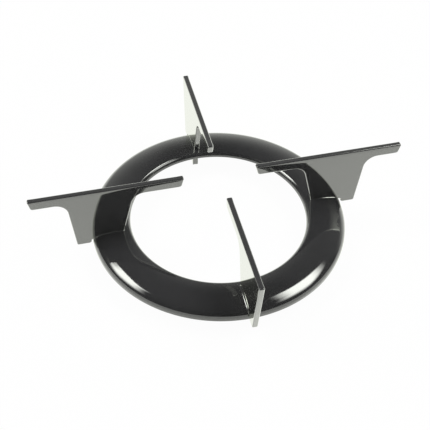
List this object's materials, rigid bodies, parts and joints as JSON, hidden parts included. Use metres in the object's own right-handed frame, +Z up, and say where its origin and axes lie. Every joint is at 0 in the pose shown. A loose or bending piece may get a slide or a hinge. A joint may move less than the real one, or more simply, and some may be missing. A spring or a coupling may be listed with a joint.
{
  "type": "hob pan support",
  "caption": "Round pan support for a gas hob burner: a domed enamelled steel ring with upright plate arms that carry the pan and pegs below it that stand on the hob.",
  "frame": {"origin": "on the ring's axis, at the level of the hob surface that the pegs stand on", "axes": "+X along the long arms, +Z up along the ring's axis"},
  "size_m": [0.2604, 0.2116, 0.06],
  "materials": {
    "black_enamel": "gloss vitreous enamel on steel"
  },
  "bodies": {
    "root": {"burner_ring": "black_enamel", "long_arm_left": "black_enamel", "long_arm_right": "black_enamel", "short_arm_front": "black_enamel", "short_arm_back": "black_enamel"}
  },
  "joints": []
}
